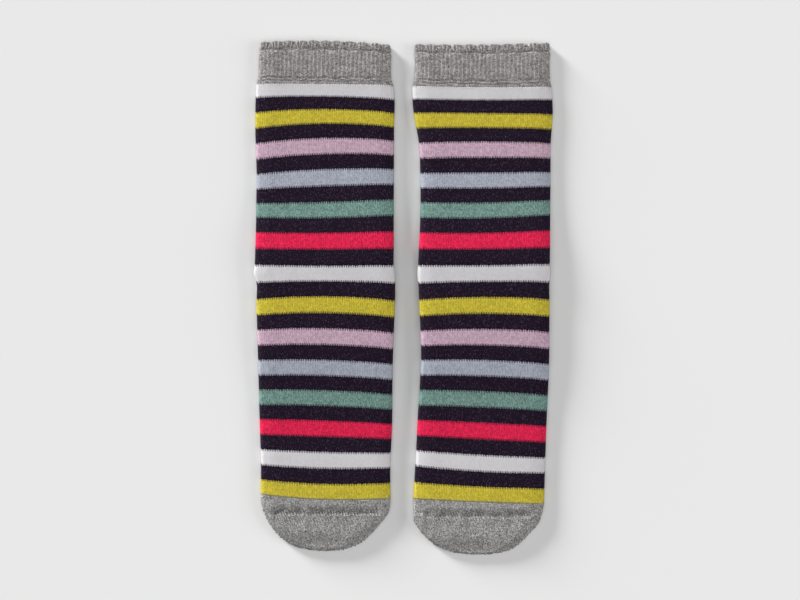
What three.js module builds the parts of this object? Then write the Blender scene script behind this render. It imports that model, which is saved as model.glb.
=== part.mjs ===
// A pair of striped crew socks, laid flat side by side with the instep up, in millimetres.
// +Z is up, the cuffs point along +Y and the toes along -Y. The socks rest on the plane z = 0.
// Each sock is knitted round: a ribbed cuff, one tube for leg and foot, a heel pocket and a toe
// pocket. Laid flat, each tube is two layers of terry knit that lie on each other, and the heel
// pocket is folded down underneath, so that the front lies over it in a low, soft rise.
import * as THREE from 'three';

// Cloth
const clothWall = 2.0; // one layer of terry knit
const slit = 0.7; // left between the two layers inside the flattened tube
const seamGap = 0.3; // between pieces that meet at a seam
const crown = 0.16; // how much higher the middle of a front lies than its sides, as a share
const tubeThick = 2 * clothWall + slit;

// Stripes count in courses of the knit, which are 0.8 high. Every second stripe is dark.
const colourStripe = 11;
const darkStripe = 12;
const tubeCourses = 14 * colourStripe + 13 * darkStripe;

// Cuff: a turned welt with a scalloped edge, 1 and 1 rib, and a plain band
const ribs = 66; // all round
const ribDepth = 0.5;
const scallops = 22; // round the edge, eleven of them across the front
const scallopDepth = 1.1;
const cuffCourses = 33;
const cuffRows = [
  // courses above the seam, how far the face stands back there, and the share of the ribs' depth
  { above: 0, back: 0, rib: 0 },
  { above: 4.5, back: 0.35, rib: 0.5 },
  { above: 6.5, back: 0, rib: 1 },
  { above: 25, back: 0, rib: 1 },
  { above: 26.7, back: 0.5, rib: 0.8 },
  { above: 28.7, back: 0, rib: 0.4 },
  { above: 33, back: 0.5, rib: 0.4 },
];

// Leg and foot: the courses where the tube's shape is set, closer where it passes over the heel
const tubeSteps = [
  11, 23, 40, 58, 80, 100, 114, 123, 129, 135, 141, 147, 155, 165, 175, 186, 198, 224, 262, 288,
];

// Heel pocket: folded down towards the toe under the foot, as a half-moon flap of two layers
const heelCourse = 143; // where the pocket is knitted in
const pocketDepth = 36;
const pocketRoot = 12; // its lower layer runs this far up under the leg
const pocketNarrower = 1.6; // its fold stops this far inside the tube's side
const pocketThick = 2 * clothWall;
const pocketRounding = 2.4; // superellipse exponent of its outline
const pocketClear = 0.45; // under the tube that lies on it
const riseAbove = 22; // how softly the tube comes down again: above the pocket's root,
const riseBelow = 12; // past its folded edge
const riseBeside = 6.5; // and at its sides
const riseEdge = 0.42; // the share of the rise that is slope rather than level top
const pocketLeast = 0.8; // the pocket is never thinner than this
const pocketRings = [
  // how far in from the outline, and the share of the thickness: up round the rim, with a groove
  // between the edges of the two layers, and over the top
  { inset: 1, height: 0 },
  { inset: 0, height: 0.25 },
  { inset: 0.6, height: 0.5 },
  { inset: 0, height: 0.72 },
  { inset: 1.8, height: 0.88 },
  { inset: 7.5, height: 1 },
  { inset: 16.5, height: 1 },
  { inset: 28.5, height: 1 },
];

// Toe pocket: the linked seam across the front, and where the rings past the shoulder lie
const toeSeam = { down: 0.14, halfWidth: 0.05, height: 0.7, reach: 0.8 };
const toeSteps = [0.09, 0.14, 0.19, 0.29, 0.41, 0.53, 0.65, 0.76, 0.86, 0.93, 0.975, 1];
const toeInnerSteps = [0, 0.41, 0.65, 0.86, 0.93];
const tipWidth = 0.04; // share of the width that is left at the tip
const tipThick = 0.17; // and of the thickness

// Rings of the smooth pieces
const foldSteps = 4; // round one side fold
const layerSteps = 10; // across one layer

// Sections: the two side folds, and the course's place at the left fold, the middle and the right fold.
// Toe: half of its outline from the shoulder to the tip, as shares of half the width and of the length.
const socks = [
  {
    name: 'left',
    tipY: -152.4,
    sections: [
      { course: -33, left: -85.7, right: -6.8, yLeft: 153.1, yMiddle: 154.0, yRight: 151.4 },
      { course: -25, left: -86.2, right: -6.9, yLeft: 147.1, yMiddle: 147.7, yRight: 145.6 },
      { course: -16, left: -86.3, right: -7.2, yLeft: 140.3, yMiddle: 140.6, yRight: 139.1 },
      { course: -6, left: -86.5, right: -7.0, yLeft: 132.8, yMiddle: 132.7, yRight: 131.9 },
      { course: 0, left: -87.8, right: -5.6, yLeft: 128.1, yMiddle: 127.9, yRight: 127.3 },
      { course: 11, left: -88.3, right: -4.8, yLeft: 120.0, yMiddle: 120.6, yRight: 118.8 },
      { course: 34, left: -88.5, right: -4.8, yLeft: 101.5, yMiddle: 104.4, yRight: 102.0 },
      { course: 69, left: -87.7, right: -4.8, yLeft: 73.5, yMiddle: 76.5, yRight: 76.0 },
      { course: 103, left: -88.1, right: -4.9, yLeft: 47.5, yMiddle: 47.6, yRight: 49.0 },
      { course: 138, left: -89.6, right: -5.0, yLeft: 19.6, yMiddle: 18.8, yRight: 19.2 },
      { course: 143, left: -90.0, right: -4.3, yLeft: 14.1, yMiddle: 14.2, yRight: 13.9 },
      { course: 151, left: -87.7, right: -4.4, yLeft: 6.3, yMiddle: 7.5, yRight: 6.0 },
      { course: 161, left: -87.6, right: -4.5, yLeft: -1.6, yMiddle: 0.0, yRight: -2.4 },
      { course: 207, left: -86.7, right: -5.9, yLeft: -38.0, yMiddle: -38.0, yRight: -40.4 },
      { course: 253, left: -86.2, right: -6.3, yLeft: -73.4, yMiddle: -74.4, yRight: -76.3 },
      { course: 287, left: -85.2, right: -7.0, yLeft: -101.1, yMiddle: -103.1, yRight: -102.7 },
      { course: 310, left: -85.2, right: -7.3, yLeft: -118.3, yMiddle: -121.5, yRight: -120.7 },
      { course: 317, left: -84.8, right: -7.6, yLeft: -124.3, yMiddle: -126.6, yRight: -126.0 },
    ],
    toe: [
      { down: 0, width: 1 },
      { down: 0.12, width: 0.98 },
      { down: 0.28, width: 0.91 },
      { down: 0.49, width: 0.81 },
      { down: 0.7, width: 0.66 },
      { down: 0.82, width: 0.55 },
      { down: 0.92, width: 0.42 },
      { down: 0.98, width: 0.24 },
      { down: 1, width: tipWidth },
    ],
  },
  {
    name: 'right',
    tipY: -154.6,
    sections: [
      { course: -33, left: 6.8, right: 88.6, yLeft: 151.9, yMiddle: 151.7, yRight: 152.8 },
      { course: -25, left: 7.1, right: 88.5, yLeft: 145.8, yMiddle: 145.4, yRight: 146.4 },
      { course: -16, left: 7.5, right: 88.1, yLeft: 139.0, yMiddle: 138.6, yRight: 139.3 },
      { course: -6, left: 7.0, right: 88.5, yLeft: 131.4, yMiddle: 130.8, yRight: 131.3 },
      { course: 0, left: 6.0, right: 89.5, yLeft: 126.8, yMiddle: 126.0, yRight: 126.4 },
      { course: 11, left: 5.9, right: 89.7, yLeft: 118.8, yMiddle: 118.4, yRight: 118.4 },
      { course: 23, left: 6.7, right: 90.0, yLeft: 109.9, yMiddle: 110.1, yRight: 109.2 },
      { course: 46, left: 9.7, right: 88.8, yLeft: 91.5, yMiddle: 92.7, yRight: 91.9 },
      { course: 69, left: 10.4, right: 88.7, yLeft: 74.8, yMiddle: 74.5, yRight: 75.1 },
      { course: 103, left: 10.3, right: 88.4, yLeft: 47.5, yMiddle: 47.7, yRight: 49.2 },
      { course: 138, left: 8.8, right: 88.3, yLeft: 19.2, yMiddle: 18.9, yRight: 19.9 },
      { course: 143, left: 8.5, right: 89.1, yLeft: 14.0, yMiddle: 14.2, yRight: 14.2 },
      { course: 151, left: 9.2, right: 88.3, yLeft: 6.4, yMiddle: 7.2, yRight: 6.3 },
      { course: 161, left: 9.4, right: 88.3, yLeft: -1.5, yMiddle: -0.2, yRight: -2.1 },
      { course: 207, left: 10.3, right: 87.7, yLeft: -37.6, yMiddle: -38.0, yRight: -40.4 },
      { course: 253, left: 7.9, right: 86.4, yLeft: -73.9, yMiddle: -75.6, yRight: -77.6 },
      { course: 287, left: 6.7, right: 85.5, yLeft: -102.0, yMiddle: -105.1, yRight: -106.3 },
      { course: 310, left: 6.2, right: 84.9, yLeft: -121.3, yMiddle: -123.1, yRight: -124.3 },
      { course: 317, left: 6.5, right: 84.2, yLeft: -126.8, yMiddle: -128.3, yRight: -128.8 },
    ],
    toe: [
      { down: 0, width: 1 },
      { down: 0.25, width: 0.97 },
      { down: 0.43, width: 0.88 },
      { down: 0.62, width: 0.745 },
      { down: 0.8, width: 0.58 },
      { down: 0.91, width: 0.42 },
      { down: 0.97, width: 0.26 },
      { down: 1, width: tipWidth },
    ],
  },
];

function smoothstep(t) {
  const x = Math.min(1, Math.max(0, t));
  return x * x * (3 - 2 * x);
}

// One column of a table at any place of its key column, on a smooth curve through the rows
function columnAt(rows, key, column, place) {
  const last = rows.length - 1;
  let i = 0;
  while (i < last - 1 && rows[i + 1][key] < place) i += 1;
  const slopeAt = (k) => {
    const before = rows[Math.max(0, k - 1)];
    const after = rows[Math.min(last, k + 1)];
    return (after[column] - before[column]) / (after[key] - before[key]);
  };
  const a = rows[i];
  const b = rows[i + 1];
  const span = b[key] - a[key];
  const t = (place - a[key]) / span;
  const ease = t * t * (3 - 2 * t);
  const startPull = t * (1 - t) * (1 - t) * span * slopeAt(i);
  const endPull = t * t * (t - 1) * span * slopeAt(i + 1);
  return a[column] * (1 - ease) + b[column] * ease + startPull + endPull;
}

// The flattened tube at one course: its middle, half its width, and where the course lies
function sectionAt(sock, course) {
  const at = (column) => columnAt(sock.sections, 'course', column, course);
  const left = at('left');
  const right = at('right');
  const section = { middle: (left + right) / 2, half: (right - left) / 2 };
  for (const column of ['yLeft', 'yMiddle', 'yRight']) section[column] = at(column);
  return section;
}

// The place along the sock of a point on a course, where across runs from -1 at the left fold to 1
function courseY(section, across) {
  const tilt = (section.yRight - section.yLeft) / 2;
  const bow = (section.yRight + section.yLeft) / 2 - section.yMiddle;
  return section.yMiddle + tilt * across + bow * across * across;
}

// How high the tube is carried by the folded heel pocket
function riseAt(sock, x, y) {
  const heel = sectionAt(sock, heelCourse);
  const u = Math.abs(x - heel.middle) / (heel.half + riseBeside);
  const v = Math.max(0, heel.yMiddle - y) / (pocketDepth + riseBelow);
  const covered = 1 - u ** pocketRounding - v ** pocketRounding;
  const above = 1 - smoothstep((y - heel.yMiddle) / riseAbove);
  return (pocketThick + pocketClear) * smoothstep(covered / riseEdge) * above;
}

// Where the points of a ring lie along it, from the middle of the left fold: evenly, as ribs are
function evenSpots(straight, fold) {
  const round = 2 * (straight + fold);
  return Array.from({ length: 2 * ribs }, (_, k) => (fold / 2 + (k / (2 * ribs)) * round) % round);
}

// or a few round each fold and the rest across each layer
function softSpots(straight, fold) {
  const spots = [];
  for (const start of [0, straight + fold]) {
    for (let k = 0; k < foldSteps; k += 1) spots.push(start + (fold * k) / foldSteps);
    for (let k = 0; k < layerSteps; k += 1) spots.push(start + fold + (straight * k) / layerSteps);
  }
  return spots;
}

// A flattened ring: two straight layers joined by half-round folds
function flatRing(half, thick, spotsOf) {
  const radius = thick / 2;
  const straight = 2 * Math.max(half - radius, 0);
  const fold = Math.PI * radius;
  return spotsOf(straight, fold).map((spot) => {
    const side = spot < straight + fold ? 1 : -1;
    const s = spot % (straight + fold);
    const turn = s < fold ? Math.PI * (s / fold - 0.5) : Math.PI / 2;
    const run = Math.max(0, s - fold);
    const outX = -Math.cos(turn);
    const outZ = Math.sin(turn);
    const x = -straight / 2 + run + radius * outX;
    return { x: x * side, z: radius * outZ * side, outX: outX * side, outZ: outZ * side };
  });
}

// One ring of a sock's wall in space. back(point, k) moves a point of the flat ring inwards first.
function wallRing(sock, section, thick, spotsOf, back = () => 0) {
  const trim = (tubeThick - thick) / 2;
  return flatRing(section.half - trim, thick, spotsOf).map((p, k) => {
    const x = p.x - p.outX * back(p, k);
    const z = p.z - p.outZ * back(p, k) + tubeThick / 2;
    const across = x / section.half;
    const y = courseY(section, across);
    const height = z * (1 + crown * Math.max(0, 1 - across * across));
    return new THREE.Vector3(section.middle + x, y, height + riseAt(sock, section.middle + x, y));
  });
}

// A closed body from rings with equally many points: endless rings join up, others close on a point
function loft(rings, endless) {
  const count = rings[0].length;
  const positions = rings.flat();
  const faces = [];
  const bands = endless ? rings.length : rings.length - 1;
  for (let r = 0; r < bands; r += 1) {
    const here = r * count;
    const next = ((r + 1) % rings.length) * count;
    for (let k = 0; k < count; k += 1) {
      const l = (k + 1) % count;
      faces.push([here + k, here + l, next + l], [here + k, next + l, next + k]);
    }
  }
  if (!endless) {
    for (const last of [false, true]) {
      const start = last ? (rings.length - 1) * count : 0;
      const ring = positions.slice(start, start + count);
      const tip = ring.reduce((sum, p) => sum.add(p), new THREE.Vector3()).divideScalar(count);
      positions.push(tip);
      for (let k = 0; k < count; k += 1) {
        const edge = [start + k, start + ((k + 1) % count)];
        faces.push([...(last ? edge : edge.reverse()), positions.length - 1]);
      }
    }
  }
  const volume = faces.reduce((sum, [a, b, c]) => {
    const across = new THREE.Vector3().crossVectors(positions[b], positions[c]);
    return sum + positions[a].dot(across);
  }, 0);
  const outward = volume > 0 ? faces : faces.map(([a, b, c]) => [a, c, b]);
  const geometry = new THREE.BufferGeometry();
  const numbers = positions.flatMap((p) => p.toArray());
  geometry.setAttribute('position', new THREE.Float32BufferAttribute(numbers, 3));
  geometry.setIndex(outward.flat());
  geometry.computeVertexNormals();
  return geometry;
}

// The ribbed cuff: outer rings with every rib and scallop, over a plain inside
function cuffGeometry(sock) {
  const ringAt = (above, thick, back) => {
    const ring = wallRing(sock, sectionAt(sock, -above), thick, evenSpots, back);
    for (const [k, p] of ring.entries()) {
      const wave = Math.abs(Math.sin((Math.PI * k * scallops) / ring.length)) - 1;
      if (above === 0) p.y += seamGap;
      if (above === cuffCourses) p.y += scallopDepth * wave;
    }
    return ring;
  };
  const outer = cuffRows.map((row) =>
    ringAt(row.above, tubeThick, (_, k) => row.back + (k % 2) * ribDepth * row.rib),
  );
  return loft([...outer, ringAt(cuffCourses, slit), ringAt(0, slit)], true);
}

// Leg and foot in one tube, open at the cuff and at the toe
function tubeGeometry(sock) {
  const courses = [0, ...tubeSteps, tubeCourses];
  const sections = courses.map((course) => sectionAt(sock, course));
  const ringsOf = (thick) => sections.map((section) => wallRing(sock, section, thick, softSpots));
  return loft([...ringsOf(tubeThick), ...ringsOf(slit).reverse()], true);
}

// The heel pocket's two folded layers as one rounded half-moon, with a groove between their edges
function heelGeometry(sock) {
  const heel = sectionAt(sock, heelCourse);
  const half = heel.half - pocketNarrower;
  const power = 2 / pocketRounding;
  const count = 2 * (foldSteps + layerSteps);
  const outline = Array.from({ length: count }, (_, k) => {
    const turn = (2 * Math.PI * k) / count;
    const c = Math.cos(turn);
    const s = Math.sin(turn);
    const reach = s > 0 ? pocketRoot : pocketDepth;
    return { x: half * Math.sign(c) * Math.abs(c) ** power, y: reach * Math.sign(s) * Math.abs(s) ** power };
  });
  const ringAt = (inset, height) => {
    const share = 1 - inset / half;
    return outline.map((p) => {
      const x = heel.middle + p.x * share;
      const y = heel.yMiddle + p.y * share;
      const top = Math.min(pocketThick, riseAt(sock, x, y) - pocketClear);
      return new THREE.Vector3(x, y, Math.max(top, pocketLeast) * height);
    });
  };
  return loft(pocketRings.map((row) => ringAt(row.inset, row.height)), false);
}

// The toe pocket: closed at the tip, with the linked seam raised across the front
function toeGeometry(sock) {
  const start = sectionAt(sock, tubeCourses);
  const shoulder = sectionAt(sock, sock.sections[sock.sections.length - 1].course);
  const length = shoulder.yMiddle - sock.tipY;
  const widthAt = (down) => shoulder.half * Math.max(tipWidth, columnAt(sock.toe, 'down', 'width', down));
  const sectionDown = (down, narrower) => {
    const yMiddle = shoulder.yMiddle - length * down + narrower * down;
    const keep = 1 - down * down;
    return {
      middle: shoulder.middle,
      half: widthAt(down) - narrower,
      yMiddle,
      yLeft: yMiddle + (shoulder.yLeft - shoulder.yMiddle) * keep,
      yRight: yMiddle + (shoulder.yRight - shoulder.yMiddle) * keep,
    };
  };
  const ringDown = (down, thick, narrower) => {
    const section = sectionDown(down, narrower);
    const ridge = Math.max(0, 1 - Math.abs(down - toeSeam.down) / toeSeam.halfWidth);
    const half = Math.max(section.half, thick / 2);
    return flatRing(half, thick, softSpots).map((p) => {
      const raised = narrower === 0 && p.outZ > 0.99 && Math.abs(p.x) < toeSeam.reach * half;
      const across = p.x / shoulder.half;
      const swell = 1 + crown * Math.max(0, 1 - across * across) * (1 - down ** 3);
      const height = (p.z + tubeThick / 2) * swell + (raised ? toeSeam.height * ridge : 0);
      return new THREE.Vector3(section.middle + p.x, courseY(section, p.x / half), height);
    });
  };
  const thickAt = (down) => {
    const fromTip = Math.max(0, 1 - (length * (1 - down)) / (tubeThick / 2));
    return tubeThick * Math.sqrt(Math.max(tipThick ** 2, 1 - fromTip * fromTip));
  };
  const first = wallRing(sock, start, tubeThick, softSpots);
  const firstInner = wallRing(sock, start, slit, softSpots);
  for (const p of [...first, ...firstInner]) p.y -= seamGap;
  const outer = [first, ...[0, ...toeSteps].map((down) => ringDown(down, thickAt(down), 0))];
  const inner = toeInnerSteps.map((down) => ringDown(down, slit, clothWall));
  return loft([...outer.reverse(), firstInner, ...inner], false);
}

const marl = { color: 0x8b8887, roughness: 0.95, metalness: 0 };
const marlHeel = { color: 0x858281, roughness: 0.95, metalness: 0 };
const stripes = { color: 0x5b4f62, roughness: 0.92, metalness: 0 };

const pair = new THREE.Group();
for (const sock of socks) {
  const pieces = [
    ['cuff', cuffGeometry(sock), marl],
    ['leg_foot', tubeGeometry(sock), stripes],
    ['heel', heelGeometry(sock), marlHeel],
    ['toe', toeGeometry(sock), marl],
  ];
  for (const [piece, geometry, look] of pieces) {
    const mesh = new THREE.Mesh(geometry, new THREE.MeshStandardMaterial(look));
    mesh.name = `${sock.name}_${piece}`;
    pair.add(mesh);
  }
}

// The origin is under the middle of the pair
const middle = new THREE.Box3().setFromObject(pair).getCenter(new THREE.Vector3());
for (const mesh of pair.children) mesh.geometry.translate(-middle.x, -middle.y, 0);

export default pair;
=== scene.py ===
import math

import bpy
import numpy as np
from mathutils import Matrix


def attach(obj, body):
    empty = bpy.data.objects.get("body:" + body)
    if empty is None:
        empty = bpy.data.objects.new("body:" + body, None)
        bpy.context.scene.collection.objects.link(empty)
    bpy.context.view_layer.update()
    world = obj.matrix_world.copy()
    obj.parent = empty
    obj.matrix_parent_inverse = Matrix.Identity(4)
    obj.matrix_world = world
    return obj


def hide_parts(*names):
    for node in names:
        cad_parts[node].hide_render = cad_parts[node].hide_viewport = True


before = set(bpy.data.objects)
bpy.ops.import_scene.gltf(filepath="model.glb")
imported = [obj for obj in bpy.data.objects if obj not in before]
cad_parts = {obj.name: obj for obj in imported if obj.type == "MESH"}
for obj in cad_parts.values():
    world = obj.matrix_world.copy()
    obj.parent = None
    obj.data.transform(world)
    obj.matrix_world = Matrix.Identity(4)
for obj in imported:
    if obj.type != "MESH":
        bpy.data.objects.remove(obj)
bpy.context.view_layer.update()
print("frame loaded with", len(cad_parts), "nodes")

# lengths are in metres, unless a note says mm
mm = 0.001

cloth = {
    "wall": 2.0 * mm,  # one layer of terry knit
    "slit": 0.7 * mm,  # between the two layers of a sock laid flat
    "crown": 0.05,  # how much higher the middle of a front lies, as a share
    "foldThinner": 0.15,  # how much lower the cloth lies at a side fold, as a share
    "foldReach": 5.5 * mm,  # and how far in from the fold
    "foldFuller": 0.06,  # the roll of thick cloth along a fold, as a share
    "fullerAt": 8 * mm,
    "fullerReach": 6 * mm,
    "wales": 160,  # stitches round the tube
    "waleWidth": 1.03 * mm,
    "courseHeight": 0.8 * mm,
}
tubeThick = 2 * cloth["wall"] + cloth["slit"]
tubeRound = cloth["wales"] * cloth["waleWidth"]

stripes = {
    "colourCourses": 11,
    "darkCourses": 12,
    "colourCount": 14,
    "teeth": 1.45,  # courses that a colour change zigzags by
    "jitter": 0.5,  # and strays by from wale to wale
    "dark": (0.0122, 0.0058, 0.0160),
    "darkStitches": 0.16,
    # from the cuff down, then over again; the last number is how strongly the stitches show
    "colours": [
        ("white", (0.686, 0.671, 0.694), 0.12),
        ("yellow", (0.611, 0.506, 0.0492), 0.58),
        ("pink", (0.590, 0.410, 0.513), 0.55),
        ("blue", (0.414, 0.440, 0.518), 0.51),
        ("green", (0.182, 0.307, 0.271), 1.0),
        ("red", (0.776, 0.0200, 0.0837), 0.65),
    ],
    # grey yarn shows at both ends: courses where it is full and where it is gone, and its share
    "greyAtStart": (0.2, 1.4, 0.6),
    "greyAtEnd": (0.2, 1.6, 0.4),
}
stripeCourses = stripes["colourCourses"] + stripes["darkCourses"]
tubeCourses = stripes["colourCount"] * stripeCourses - stripes["darkCourses"]

# Sections: course, x of both side folds, and y of the course at the left fold, the middle and the
# right fold. Toe: share of its length, then width and lean as shares of half the shoulder's width.
sectionColumns = {"left": 1, "right": 2, "yLeft": 3, "yMiddle": 4, "yRight": 5}
toeColumns = {"width": 1, "aside": 2}

leftSock = {
    "name": "left",
    "ribSeed": 74,
    "weltSeed": 35,
    "legSeed": 3,
    "toeSeed": 41,
    "fibreSeed": 25,
    "tipY": -0.1524,
    "sections": [
        (-33, -0.0857, -0.0068, 0.1525, 0.1534, 0.1508),
        (-25, -0.0862, -0.0069, 0.1467, 0.1473, 0.1452),
        (-16, -0.0863, -0.0072, 0.1403, 0.1406, 0.1391),
        (-6, -0.0865, -0.0070, 0.1328, 0.1327, 0.1319),
        (0, -0.0878, -0.0056, 0.1281, 0.1279, 0.1273),
        (11, -0.0883, -0.0048, 0.1200, 0.1206, 0.1188),
        (34, -0.0885, -0.0051, 0.1014, 0.1043, 0.1023),
        (69, -0.0877, -0.0052, 0.0734, 0.0762, 0.0765),
        (92, -0.0879, -0.0053, 0.0560, 0.0565, 0.0583),
        (103, -0.0879, -0.0053, 0.0482, 0.0477, 0.0495),
        (126, -0.0883, -0.0053, 0.0294, 0.0289, 0.0295),
        (138, -0.0887, -0.0053, 0.0189, 0.0182, 0.0187),
        (143, -0.0894, -0.0045, 0.0142, 0.0142, 0.0141),
        (151, -0.0874, -0.0044, 0.0073, 0.0083, 0.0069),
        (161, -0.0876, -0.0045, -0.0016, 0.0, -0.0024),
        (207, -0.0867, -0.0059, -0.0380, -0.0380, -0.0404),
        (253, -0.0859, -0.0063, -0.0734, -0.0744, -0.0763),
        (287, -0.0851, -0.0074, -0.1002, -0.1024, -0.1020),
        (310, -0.0852, -0.0073, -0.1183, -0.1215, -0.1207),
        (317, -0.0848, -0.0076, -0.1243, -0.1266, -0.1260),
    ],
    "toe": [
        (0, 1, 0), (0.12, 0.98, 0), (0.28, 0.92, -0.012), (0.49, 0.82, -0.03), (0.7, 0.685, -0.036),
        (0.82, 0.575, -0.03), (0.92, 0.42, -0.03), (0.98, 0.24, -0.02), (1, 0.04, -0.02),
    ],
}
rightSock = {
    "name": "right",
    "ribSeed": 75,
    "weltSeed": 36,
    "legSeed": 8,
    "toeSeed": 46,
    "fibreSeed": 26,
    "tipY": -0.1546,
    "sections": [
        (-33, 0.0068, 0.0886, 0.1513, 0.1511, 0.1522),
        (-25, 0.0071, 0.0885, 0.1455, 0.1451, 0.1461),
        (-16, 0.0075, 0.0881, 0.1390, 0.1386, 0.1393),
        (-6, 0.0070, 0.0885, 0.1314, 0.1308, 0.1313),
        (0, 0.0060, 0.0895, 0.1268, 0.1260, 0.1264),
        (11, 0.0059, 0.0900, 0.1191, 0.1184, 0.1188),
        (23, 0.0067, 0.0902, 0.1103, 0.1099, 0.1094),
        (46, 0.0098, 0.0890, 0.0922, 0.0928, 0.0920),
        (69, 0.0106, 0.0889, 0.0741, 0.0742, 0.0747),
        (103, 0.0106, 0.0886, 0.0481, 0.0476, 0.0497),
        (126, 0.0097, 0.0884, 0.0292, 0.0290, 0.0301),
        (138, 0.0092, 0.0883, 0.0186, 0.0185, 0.0195),
        (143, 0.0088, 0.0888, 0.0141, 0.0143, 0.0146),
        (151, 0.0095, 0.0880, 0.0069, 0.0080, 0.0076),
        (161, 0.0098, 0.0881, -0.0020, -0.0004, -0.0017),
        (184, 0.0107, 0.0880, -0.0205, -0.0195, -0.0212),
        (207, 0.0110, 0.0879, -0.0380, -0.0381, -0.0404),
        (253, 0.0090, 0.0864, -0.0739, -0.0756, -0.0776),
        (276, 0.0081, 0.0858, -0.0922, -0.0950, -0.0965),
        (287, 0.0076, 0.0855, -0.1008, -0.1042, -0.1051),
        (310, 0.0065, 0.0849, -0.1211, -0.1229, -0.1241),
        (317, 0.0065, 0.0842, -0.1268, -0.1283, -0.1288),
    ],
    "toe": [
        (0, 1, 0), (0.25, 0.97, -0.03), (0.43, 0.885, -0.046), (0.62, 0.773, -0.05), (0.8, 0.625, -0.036),
        (0.91, 0.475, -0.02), (0.97, 0.29, -0.02), (1, 0.04, -0.02),
    ],
}

heelFold = {
    "course": 143,  # where the pocket is knitted in
    "depth": 36 * mm,  # towards the toe
    "root": 12 * mm,  # towards the cuff
    "narrower": 1.6 * mm,  # than the tube, on each side
    "rounding": 2.4,  # exponent of its outline, where 2 is an ellipse
    "clear": 0.45 * mm,  # room between it and the tube
    "thick": 2.6 * mm,
    "least": 0.8 * mm,
    "riseBeside": 8 * mm,
    "riseAcross": 8,  # exponent: how flat it is across
    "riseEdge": 0.9,
    # the rise along the tube: mm down from the pocket's line, and share of the full rise
    "rise": [
        (-78, 0), (-68, 0), (-58, 0.03), (-40, 0.27), (-21, 0.76), (-10, 0.98),
        (-2, 0.95), (6, 0.88), (17, 0.83), (36, 0.78), (55, 0.56), (74, 0.19),
        (92, 0.03), (104, 0), (116, 0),
    ],
}


def smoothstep(t):
    x = np.clip(t, 0, 1)
    return x * x * (3 - 2 * x)


def fade(value, none, full):
    return smoothstep((value - none) / (full - none))


# a wave from 0 up to 1 and back in each turn
def halfWave(turns):
    return 0.5 - 0.5 * np.cos(2 * math.pi * turns)


# one column of a table anywhere along its first column, on a smooth curve through the rows
def columnAt(rows, column, place):
    keys = np.array([row[0] for row in rows], float)
    values = np.array([row[column] for row in rows], float)
    last = len(keys) - 1
    before = np.maximum(np.arange(last + 1) - 1, 0)
    after = np.minimum(np.arange(last + 1) + 1, last)
    slopes = (values[after] - values[before]) / (keys[after] - keys[before])
    place = np.asarray(place, float)
    i = np.clip(np.searchsorted(keys, place) - 1, 0, last - 1)
    span = keys[i + 1] - keys[i]
    t = (place - keys[i]) / span
    ease = t * t * (3 - 2 * t)
    pull = t * (1 - t) ** 2 * slopes[i] + t * t * (t - 1) * slopes[i + 1]
    return values[i] * (1 - ease) + values[i + 1] * ease + span * pull


def sectionAt(sock, course):
    at = {name: columnAt(sock["sections"], column, course) for name, column in sectionColumns.items()}
    at["middle"] = (at["left"] + at["right"]) / 2
    at["half"] = (at["right"] - at["left"]) / 2
    return at


def courseY(section, across):
    tilt = (section["yRight"] - section["yLeft"]) / 2
    bow = (section["yRight"] + section["yLeft"]) / 2 - section["yMiddle"]
    return section["yMiddle"] + tilt * across + bow * across**2


# how high the tube is carried by the folded heel pocket
def riseAt(sock, x, y):
    heel = sectionAt(sock, heelFold["course"])
    u = np.abs(x - heel["middle"]) / (heel["half"] + heelFold["riseBeside"])
    across = smoothstep((1 - u ** heelFold["riseAcross"]) / heelFold["riseEdge"])
    rows = [(down * mm, part) for down, part in heelFold["rise"]]
    along = np.maximum(0, columnAt(rows, 1, np.clip(heel["yMiddle"] - y, rows[0][0], rows[-1][0])))
    return (heelFold["thick"] + heelFold["clear"]) * across * along


# a flattened ring: x, z and the outward direction at each share of the way round
def flatRing(half, thick, share):
    radius = thick / 2
    straight = 2 * np.maximum(half - radius, 0)
    fold = math.pi * radius
    layer = straight + fold
    spot = (fold / 2 + share * 2 * layer) % (2 * layer)
    side = np.where(spot < layer, 1, -1)
    s = spot % layer
    turn = np.where(s < fold, math.pi * (s / fold - 0.5), math.pi / 2)
    outX, outZ = -np.cos(turn) * side, np.sin(turn) * side
    x = (-straight / 2 + np.maximum(0, s - fold)) * side + radius * outX
    return x, radius * outZ, outX, outZ


# low bumps of cloth that was never quite flat, as a sum of seeded waves between -1 and 1
def unevenness(x, y, size, seed, waves=9):
    random = np.random.default_rng(seed)
    total = np.zeros(np.broadcast(x, y).shape)
    for _ in range(waves):
        angle, phase, stretch = random.uniform(0, [math.pi, 2 * math.pi, 1])
        pitch = size * (0.6 + stretch)
        total += np.sin((x * math.cos(angle) + y * math.sin(angle)) * 2 * math.pi / pitch + phase)
    return total / waves


# how much the cloth's height changes near a side fold
def pressed(fromFold):
    roll = cloth["foldFuller"] * np.exp(-(((fromFold - cloth["fullerAt"]) / cloth["fullerReach"]) ** 2))
    return 1 + roll - cloth["foldThinner"] * np.exp(-((fromFold / cloth["foldReach"]) ** 2))


# points of a sock's wall in space; back moves them inwards and lift moves them up
def wallPoints(sock, section, thick, share, back=0.0, lift=0.0):
    trim = (tubeThick - thick) / 2
    x, z, outX, outZ = flatRing(section["half"] - trim, thick, share)
    x = x - outX * back
    z = z - outZ * back + tubeThick / 2
    across = x / section["half"]
    y = courseY(section, across)
    height = z * (1 + cloth["crown"] * np.maximum(0, 1 - across**2))
    height = np.maximum(height, 0) * pressed(section["half"] - np.abs(x))
    x = section["middle"] + x
    return np.stack([x, y, height + lift + riseAt(sock, x, y)], axis=-1)


def column(values):
    return np.asarray(values, float)[:, None]


# how far round each point lies
def sharesOf(count):
    return np.arange(count)[None, :] / count


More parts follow.
